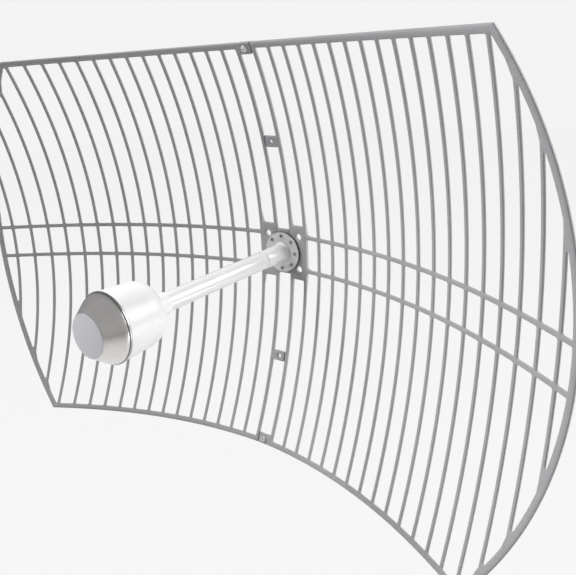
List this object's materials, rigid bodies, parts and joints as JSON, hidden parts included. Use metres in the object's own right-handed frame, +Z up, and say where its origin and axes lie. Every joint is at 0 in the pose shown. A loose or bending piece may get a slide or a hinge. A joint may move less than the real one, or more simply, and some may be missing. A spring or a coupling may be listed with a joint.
{
  "type": "grid parabolic antenna",
  "caption": "Grid parabolic dish antenna: a die-cast reflector of upright bars in bolted halves, with a feed tube from a round flange to a drum-shaped feed head.",
  "frame": {"origin": "centre of the hub's flat back face, where a mast bracket seats", "axes": "+Z up, -Y the way the reflector looks, +X along its long side"},
  "size_m": [0.968, 0.4006, 0.604],
  "materials": {
    "casting": "satin grey paint on die-cast metal",
    "feed_metal": "satin white paint",
    "gasket": "matt",
    "screw": "plain",
    "bolt": "bright",
    "white_plastic": "satin white",
    "grey_plastic": "glossy grey",
    "end_plastic": "satin grey"
  },
  "bodies": {
    "root": {"reflector_left_half": "casting", "reflector_right_half": "casting", "hub_bridge_plate": "casting", "flange_gasket": "gasket", "feed_flange": "feed_metal", "flange_screw_1": "screw", "flange_screw_2": "screw", "flange_screw_3": "screw", "flange_screw_4": "screw", "flange_screw_5": "screw", "flange_screw_6": "screw", "flange_screw_7": "screw", "flange_screw_8": "screw", "feed_collar": "feed_metal", "feed_tube": "feed_metal", "feed_head_shoulder": "white_plastic", "feed_head_body": "white_plastic", "feed_head_rim": "grey_plastic", "feed_head_cap": "grey_plastic", "feed_end_disc": "end_plastic", "rim_bolt_top": "bolt", "rim_bolt_bottom": "bolt", "rim_nut_top": "bolt", "rim_nut_bottom": "bolt", "inlet_nut": "bolt", "inlet_connector": "bolt"}
  },
  "joints": []
}
